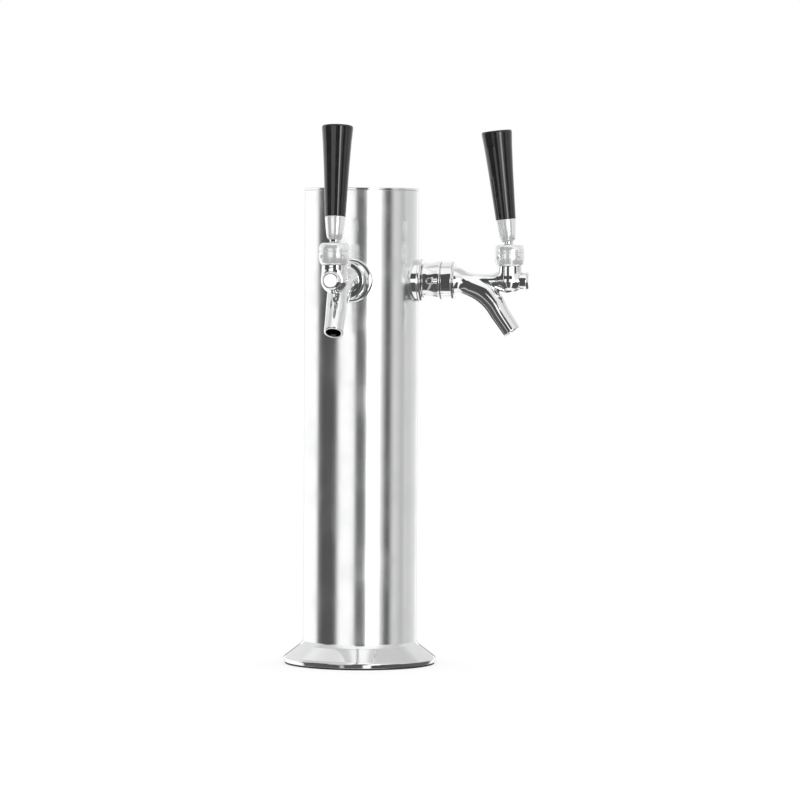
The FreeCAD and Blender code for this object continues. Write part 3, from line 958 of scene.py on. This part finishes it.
@dataclass
class Tap:
    """One tap: fittings at the column, cast body, bonnet, lever and handle. side is "left" or "right".

    Outlines are (radius, height, rounding) in mm. Heights run along the tap from the column's axis, or up
    from the shank's level at the bonnet, or up the lever from its pivot.
    """

    side: str
    lean: float = -6.4
    collar_profile: Profile = ((11.2, 50.0, 0.1), (18.9, 50.0, 0.1), (18.9, 52.2, 0.5), (19.5, 52.8, 0.5),
                               (19.5, 54.1, 1.0), (18.5, 55.3, 1.2), (17.0, 55.8, 0.8), (11.2, 55.8, 0.2))
    collar_back: tuple[float, float] = (50.0, 52.2)
    nut_profile: Profile = ((11.5, 56.2, 0.1), (15.5, 56.2, 0.3), (16.4, 57.3, 0.8), (16.05, 61.0, SMOOTH),
                            (16.35, 65.5, SMOOTH), (17.55, 70.8, 1.6), (17.55, 72.2, 0.7), (17.0, 72.8, 0.4),
                            (15.0, 72.8, 0.2), (15.0, 58.3, 0.2), (11.5, 58.3, 0.2))
    ring_profile: Profile = ((8.5, 65.4, 0.2), (14.4, 65.4, 0.3), (14.4, 73.0, 0.3), (16.5, 73.0, 0.3),
                             (17.25, 73.8, 0.8), (17.25, 82.6, 1.4), (16.2, 83.9, 1.2), (13.2, 84.8, 0.8),
                             (8.5, 84.8, 0.2))
    boss_profile: Profile = ((0, 148.2, 0), (4.05, 148.2, 0.1), (4.05, 138.0, 0.1), (8.1, 138.0, 0.1),
                             (8.1, 141.9, 0.2), (7.3, 142.1, 0.15), (7.3, 143.0, 0.15), (8.1, 143.2, 0.2),
                             (8.1, 148.8, 2.0), (6.4, 150.7, 2.0), (0, 150.7, 0))
    bonnet_profile: Profile = ((9.45, 13.6, 0.1), (11.0, 13.6, 0.5), (12.4, 15.2, 2.0), (13.3, 19.6, SMOOTH),
                               (13.3, 24.5, 0.3), (12.6, 24.8, 0.15), (12.6, 25.4, 0.15), (13.3, 25.7, 0.3),
                               (13.1, 28.5, SMOOTH), (12.4, 30.7, 2.0), (11.3, 31.8, 0.8), (10.4, 32.3, 0.4),
                               (9.95, 32.3, 0.15), (8.95, 31.0, 0.3), (8.95, 27.6, 0.1), (9.45, 27.6, 0.1))
    ferrule_profile: Profile = ((4.8, 13.1, 0.1), (5.0, 13.1, 0.1), (6.3, 14.4, 0.5), (6.9, 15.8, 0.8),
                                (7.4, 18.0, SMOOTH), (8.15, 24.0, SMOOTH), (8.95, 32.5, 0.3), (8.6, 32.8, 0.2),
                                (4.8, 32.8, 0.1))
    grip_profile: Profile = ((0, 24.6, 0), (4.7, 24.6, 0.2), (4.7, 32.9, 0.1), (8.9, 32.9, 0.3), (9.9, 52.9, SMOOTH),
                             (11.0, 74.9, SMOOTH), (12.4, 96.9, SMOOTH), (13.6, 110.2, 1.6), (13.0, 111.55, 0.8),
                             (10.6, 111.55, 0.4), (10.2, 111.32, 0.4), (0, 111.32, 0))
    ball: float = 8.0
    arm: float = 19.5

    def __post_init__(self) -> None:
        """Find the tap's direction and height from the coupling nut, and its pivot from the lever's hinge."""
        low, high = box_mm(f"{self.side}_coupling_nut")
        centre = (low + high) / 2
        self.turn = math.atan2(centre[1], centre[0])
        out = np.array([math.cos(self.turn), math.sin(self.turn), 0.0])
        across, up = np.array([-out[1], out[0], 0.0]), np.array([0.0, 0.0, 1.0])
        self.place = Placement(np.stack([out, across, up]), np.array([0, 0, centre[2]]))
        hinge = next(j for j in frame["joints"] if j["name"] == f"{self.side}_lever_hinge")
        pivot = np.array(hinge["pos_m"]) / MM
        pivot_u, pivot_w = float(pivot @ out), float(pivot[2] - centre[2])
        # turned pieces: own Z along the tap, up the riser, or up the lever
        self.along = Placement(np.array([[0, 0, 1.0], [0, -1.0, 0], [1.0, 0, 0]]), np.zeros(3)).within(self.place)
        self.upright = Placement(np.eye(3), np.array([pivot_u, 0, 0])).within(self.place)
        lean = math.radians(self.lean)
        axes = np.array([[math.cos(lean), 0, -math.sin(lean)], [0, 1.0, 0], [math.sin(lean), 0, math.cos(lean)]])
        self.lever_place = Placement(axes, np.array([pivot_u, 0, pivot_w])).within(self.place)

    def name(self, part: str) -> str:
        """Name of one of this tap's pieces or nodes."""
        return f"{self.side}_{part}"

    def fittings(self, shop: Shop) -> None:
        """Collar with its back on the column, and the coupling nut with its spanner holes.

        Args:
            shop: makes the pieces.
        """
        collar = turned(self.collar_profile, around=160, cell=0.7)
        column = box_mm("column_tube")[1][0] + 0.05
        back, front = self.collar_back
        height = collar.points[:, 2]
        wall = np.sqrt(column ** 2 - collar.points[:, 1] ** 2)
        part = np.clip((height - back) / (front - back), 0, 1)
        collar.points[:, 2] = np.where(height < front, wall * (1 - part) + front * part, height)
        collar.normals = None
        shop.piece(self.name("collar"), collar.placed(self.along), "fitting", "tower", "fittings",
                   self.name("shank_collar"))
        nut = turned(self.nut_profile, around=360, cell=0.3, dimples=Dimples(63.2, 2.4, 2.2))
        shop.piece(self.name("nut"), nut.placed(self.along), "fitting", "tower", "fittings",
                   self.name("coupling_nut"))

    def body(self, shop: Shop, casting: Surface) -> None:
        """Casting, and the two turned parts that are crisp: the ring at the nut and the front boss.

        Args:
            shop: makes the pieces.
            casting: the cast body in the tap's own coordinates.
        """
        node = self.name("faucet_body")
        shop.piece(self.name("casting"), casting.placed(self.place), "cast", "tower", "faucet", node)
        shop.piece(self.name("body_ring"), turned(self.ring_profile, cell=0.6).placed(self.along), "fitting",
                   "tower", "faucet", node)
        shop.piece(self.name("front_boss"), turned(self.boss_profile, closed=False, cell=0.5).placed(self.along),
                   "fitting", "tower", "faucet", node)
        bonnet = turned(self.bonnet_profile, around=280, cell=0.3, dimples=Dimples(20.4, 1.5, 1.5, first=45.0))
        shop.piece(self.name("bonnet_cap"), bonnet.placed(self.upright), "satin", "tower", "fittings",
                   self.name("bonnet"))

    def lever_profile(self) -> Profile:
        """Outline of the lever from the tip of its arm, over the ball, to the top of its stem.

        Returns:
            The corners of the outline.
        """
        def round_part(centre: float, radius: float, first: float, last: float, count: int) -> list:
            """Points of an arc about a centre on the axis, between two angles from the bottom, in degrees.

            Args:
                centre: height of the centre.
                radius: radius of the arc.
                first: angle where it starts.
                last: angle where it ends.
                count: number of points.

            Returns:
                The corners, none of them rounded.
            """
            angle = np.radians(np.linspace(first, last, count))
            return [(radius * math.sin(a), centre - radius * math.cos(a), 0.0) for a in angle]

        tip = round_part(-self.arm, 2.6, 0, 122, 14)
        ball = round_part(0.0, self.ball, 17, 154, 40)
        stem = [(3.4, 9.0, 0.4), (4.3, 11.0, 0.8), (4.3, 13.0, 0.1), (4.7, 13.4, 0.1), (4.7, 23.8, 0.3),
                (4.2, 24.2, 0.2), (0, 24.2, 0)]
        return tip + ball + stem

    def handle(self, shop: Shop) -> None:
        """Lever, ferrule and grip, all turned about the lever's own axis.

        Args:
            shop: makes the pieces.
        """
        body = self.name("handle")
        shop.piece(self.name("lever_arm"), turned(self.lever_profile(), closed=False, around=96, cell=0.6)
                   .placed(self.lever_place), "fitting", body, "lever", self.name("lever"))
        shop.piece(self.name("ferrule"), turned(self.ferrule_profile, cell=0.5).placed(self.lever_place), "satin",
                   body, "ferrule", self.name("handle_ferrule"))
        grip = shop.piece(self.name("grip"), turned(self.grip_profile, closed=False, around=160, cell=0.8)
                          .placed(self.lever_place), "grip", body, "grip", self.name("handle_grip"))
        grip.visible_glossy = False

    def inside(self, shop: Shop) -> None:
        """Dress the parts that stay as the CAD has them.

        Args:
            shop: dresses the pieces.
        """
        shop.dress(self.name("shank"), "shank", self.turn)
        finishes = {
            "shank_saddle_washer": "steel", "shank_locknut": "plated", "tailpiece": "steel",
            "tailpiece_washer": "rubber", "tailpiece_nut": "plated", "coupling_gasket": "rubber",
            "valve_shaft": "steel", "seat_washer": "rubber", "seat_nut": "steel", "ball_seat": "nylon",
            "friction_ring": "nylon",
        }
        for part, finish in finishes.items():
            shop.dress(self.name(part), finish)


# ------------------------------------------------------------------ studio
Stops = Sequence[tuple[float, float]]


@dataclass
class Studio:
    """White studio: floor, soft light, the panels that polished metal reflects, and the camera.

    Metres and degrees. Brightness is linear, and 1 is white.
    """

    azimuth: float = -34.85
    distance: float = 3.40
    eye: float = 0.350
    pitch: float = 1.93
    yaw: float = -0.588
    roll: float = 0.325
    lens: float = 171.4
    floor_size: float = 30.0
    flag_reach: float = 0.42
    flag_sides: tuple[float, float] = (-11.0, 11.5)
    flag_height: tuple[float, float] = (-0.15, 0.74)
    soft_light: float = 1.12
    backdrop: float = 1.0
    panel_light: float = 1.08
    strip_light: float = 4.0
    floor_glow: float = 1.15
    floor_share: float = 0.6
    ground: tuple[float, float, float, float] = (0.9, 0.9, 0.9, 1)
    # heights, in degrees above the horizon, between which one belt of panels gives way to the next
    ground_edge: tuple[float, float] = (-66, -58)
    low_edge: tuple[float, float] = (-11, -8)
    high_edge: tuple[float, float] = (8, 12)
    top_edge: tuple[float, float] = (36, 42)
    strip_foot: tuple[float, float] = (-12, -8)
    strip_head: tuple[float, float] = (13, 17)
    # each belt of panels: direction from the camera's, in degrees to the right, and brightness
    level_panels: Stops = (
        (-180, 0.42), (-170, 0.42), (-166, 1), (-100, 1), (-94, 0.11), (-75, 0.055), (-70, 0.10), (-65, 0.06),
        (-51, 0.06), (-44, 1), (33, 1), (40, 0.72), (48, 0.24), (51, 0.05), (60, 0.03), (65, 0.50), (71, 0.68),
        (79, 0.60), (91, 0.42), (94, 0.42), (102, 0.64), (110, 0.56), (125, 0.62), (148, 0.78), (153, 1), (166, 1),
        (170, 0.42), (180, 0.42))
    high_panels: Stops = (
        (-180, 0.95), (-165, 0.75), (-95, 0.72), (-80, 0.06), (18, 0.06), (28, 0.80), (75, 0.70), (88, 0.50),
        (115, 0.70), (165, 0.70), (180, 0.95))
    top_panels: Stops = (
        (-180, 0.80), (-140, 0.80), (-125, 0.55), (-75, 0.58), (-48, 0.90), (-30, 0.92), (20, 0.95), (50, 0.92),
        (72, 0.60), (140, 0.55), (155, 0.80), (180, 0.80))
    low_panels: Stops = (
        (-180, 1), (-112, 1), (-106, 0.10), (-40, 0.08), (-36, 0.45), (-32, 0.45), (-29, 0.08), (5, 0.10), (8, 1),
        (20, 1), (24, 0.06), (140, 0.12), (152, 1), (180, 1))
    strip: Stops = ((-180, 0), (15, 0), (19, 1), (29, 1), (32, 0), (180, 0))

    def ramp(self, bench: Bench, place: object, stops: Stops) -> bpy.types.NodeSocket:
        """Brightness around the horizon as a colour ramp.

        Args:
            bench: the bench of the surroundings.
            place: direction around the horizon, from 0 to 1.
            stops: directions in degrees, with their brightness.

        Returns:
            The socket with the brightness.
        """
        node = bench.add("ShaderNodeValToRGB", {0: place})
        elements = node.color_ramp.elements
        elements[0].position, elements[1].position = 0.0, 1.0
        elements[0].color = (stops[0][1],) * 3 + (1,)
        elements[1].color = (stops[-1][1],) * 3 + (1,)
        for angle, value in stops[1:-1]:
            elements.new((angle + 180) / 360).color = (value,) * 3 + (1,)
        return node.outputs[0]

    def world(self) -> None:
        """Surroundings: white for the camera, soft white for light, panels for what metal reflects.

        The panels are belts at different heights, each with its own brightness around the horizon. A
        bright upright strip adds to the belt at the tower's level.
        """
        world = bpy.data.worlds.new("studio")
        world.use_nodes = True
        bpy.context.scene.world = world
        bench = Bench(world.node_tree)
        direction = bench.add("ShaderNodeTexCoord").outputs["Generated"]
        turn = math.radians(self.azimuth)
        to_camera = (math.sin(turn), -math.cos(turn), 0.0)
        to_right = (math.cos(turn), math.sin(turn), 0.0)
        front, right, up = (bench.add("ShaderNodeVectorMath", {0: direction, 1: axis}, operation="DOT_PRODUCT")
                            .outputs["Value"] for axis in (to_camera, to_right, (0.0, 0.0, 1.0)))
        around = bench.math("MULTIPLY_ADD", bench.math("ARCTAN2", right, front), 0.5 / math.pi, 0.5)
        height = bench.math("MULTIPLY", bench.math("ARCSINE", up), 180 / math.pi)
        level, high, low, top = (self.ramp(bench, around, stops) for stops in (
            self.level_panels, self.high_panels, self.low_panels, self.top_panels))
        seen = bench.mix(bench.between(height, *self.ground_edge), self.ground, low)
        seen = bench.mix(bench.between(height, *self.low_edge), seen, level)
        seen = bench.mix(bench.between(height, *self.high_edge), seen, high)
        seen = bench.mix(bench.between(height, *self.top_edge), seen, top)
        upright = bench.math("MULTIPLY", bench.between(height, *self.strip_foot),
                             bench.between(height, *self.strip_head, 1, 0))
        boost = bench.math("MULTIPLY", self.ramp(bench, around, self.strip), upright)
        strength = bench.math("MULTIPLY_ADD", boost, self.strip_light, self.panel_light)
        rays = bench.add("ShaderNodeLightPath").outputs
        panels = bench.add("ShaderNodeBackground", {"Color": seen, "Strength": strength})
        soft = bench.add("ShaderNodeBackground", {"Color": (1, 1, 1, 1), "Strength": self.soft_light})
        plain = bench.add("ShaderNodeBackground", {"Color": (1, 1, 1, 1), "Strength": self.backdrop})
        lit = bench.add("ShaderNodeMixShader", {0: rays["Is Glossy Ray"], 1: soft.outputs[0], 2: panels.outputs[0]})
        out = bench.add("ShaderNodeMixShader", {0: rays["Is Camera Ray"], 1: lit.outputs[0], 2: plain.outputs[0]})
        bench.tree.links.new(out.outputs[0], bench.add("ShaderNodeOutputWorld").inputs[0])

    def floor(self) -> None:
        """Plain pale floor: a flat grid around the tower."""
        side = np.linspace(-self.floor_size / 2, self.floor_size / 2, 9)
        x, y = (a.ravel() for a in np.meshgrid(side, side, indexing="ij"))
        points = np.stack([x, y, np.zeros_like(x)], 1)
        index = np.arange(81).reshape(9, 9)
        quads = np.stack([index[:-1, :-1], index[1:, :-1], index[1:, 1:], index[:-1, 1:]], 2).reshape(-1, 4)
        mesh = bpy.data.meshes.new("floor")
        mesh.from_pydata(points.tolist(), [], quads.tolist())
        material = bpy.data.materials.new("pale floor")
        material.use_nodes = True
        bench = Bench(material.node_tree)
        tone = bench.mix(bench.noise(400.0), (0.93, 0.93, 0.93, 1), (0.90, 0.90, 0.90, 1))
        shader = bench.add("ShaderNodeBsdfDiffuse", {"Color": tone})
        glow = bench.add("ShaderNodeEmission", {"Color": tone, "Strength": self.floor_glow})
        both = bench.add("ShaderNodeMixShader", {0: self.floor_share, 1: shader.outputs[0], 2: glow.outputs[0]})
        bench.tree.links.new(both.outputs[0], bench.add("ShaderNodeOutputMaterial").inputs[0])
        mesh.materials.append(material)
        floor = bpy.data.objects.new("floor", mesh)
        bpy.context.scene.collection.objects.link(floor)
        floor.visible_glossy = False

    def flag(self) -> None:
        """Dark upright card before the tower, seen only in reflections: part of a cylinder about the column."""
        turn = math.radians(self.azimuth - 90)
        angle = turn + np.radians(np.linspace(*self.flag_sides, 25))
        height = np.linspace(*self.flag_height, 9)
        a, z = (x.ravel() for x in np.meshgrid(angle, height, indexing="ij"))
        points = np.stack([self.flag_reach * np.cos(a), self.flag_reach * np.sin(a), z], 1)
        index = np.arange(len(points)).reshape(25, 9)
        quads = np.stack([index[:-1, :-1], index[:-1, 1:], index[1:, 1:], index[1:, :-1]], 2).reshape(-1, 4)
        mesh = bpy.data.meshes.new("flag")
        mesh.from_pydata(points.tolist(), [], quads.tolist())
        material = bpy.data.materials.new("dark card")
        material.use_nodes = True
        bench = Bench(material.node_tree)
        tone = bench.mix(bench.noise(90.0), (0.060, 0.060, 0.060, 1), (0.090, 0.090, 0.090, 1))
        shader = bench.add("ShaderNodeEmission", {"Color": tone})
        bench.tree.links.new(shader.outputs[0], bench.add("ShaderNodeOutputMaterial").inputs[0])
        mesh.materials.append(material)
        flag = bpy.data.objects.new("flag", mesh)
        bpy.context.scene.collection.objects.link(flag)
        flag.visible_camera = flag.visible_diffuse = flag.visible_shadow = flag.visible_transmission = False

    def camera(self) -> None:
        """Long-lens camera at eye height a little below the taps."""
        turn, tilt, roll = (math.radians(a) for a in (self.azimuth, self.pitch, self.roll))
        aim = turn + math.radians(self.yaw)
        forward = np.array([-math.sin(aim) * math.cos(tilt), math.cos(aim) * math.cos(tilt), -math.sin(tilt)])
        right = np.array([math.cos(aim), math.sin(aim), 0.0])
        up = np.cross(right, forward)
        rolled_right = right * math.cos(roll) + up * math.sin(roll)
        rolled_up = up * math.cos(roll) - right * math.sin(roll)
        eye = (math.sin(turn) * self.distance, -math.cos(turn) * self.distance, self.eye)
        data = bpy.data.cameras.new("camera")
        data.lens, data.sensor_width, data.clip_start, data.clip_end = self.lens, 36.0, 0.05, 60.0
        camera = bpy.data.objects.new("camera", data)
        axes = Matrix([rolled_right, rolled_up, -forward]).transposed()
        camera.matrix_world = Matrix.Translation(eye) @ axes.to_4x4()
        bpy.context.scene.collection.objects.link(camera)
        bpy.context.scene.camera = camera

    def build(self) -> None:
        """Set up the whole studio."""
        self.world()
        self.floor()
        self.flag()
        self.camera()
        bpy.context.scene.view_settings.view_transform = "Standard"
        bpy.context.scene.view_settings.look = "None"


def main() -> None:
    """Build and dress the tower, both taps and the studio."""
    logging.basicConfig(level=logging.INFO, format="%(name)s: %(message)s")
    shop = Shop()
    tower = Tower()
    for step in (tower.column, tower.foot, tower.cap, tower.inside):
        step(shop)
    casting = Casting().surface()
    for side in ("left", "right"):
        tap = Tap(side)
        tap.fittings(shop)
        tap.body(shop, casting)
        tap.handle(shop)
        tap.inside(shop)
    Studio().build()


if __name__ == "__main__":
    main()
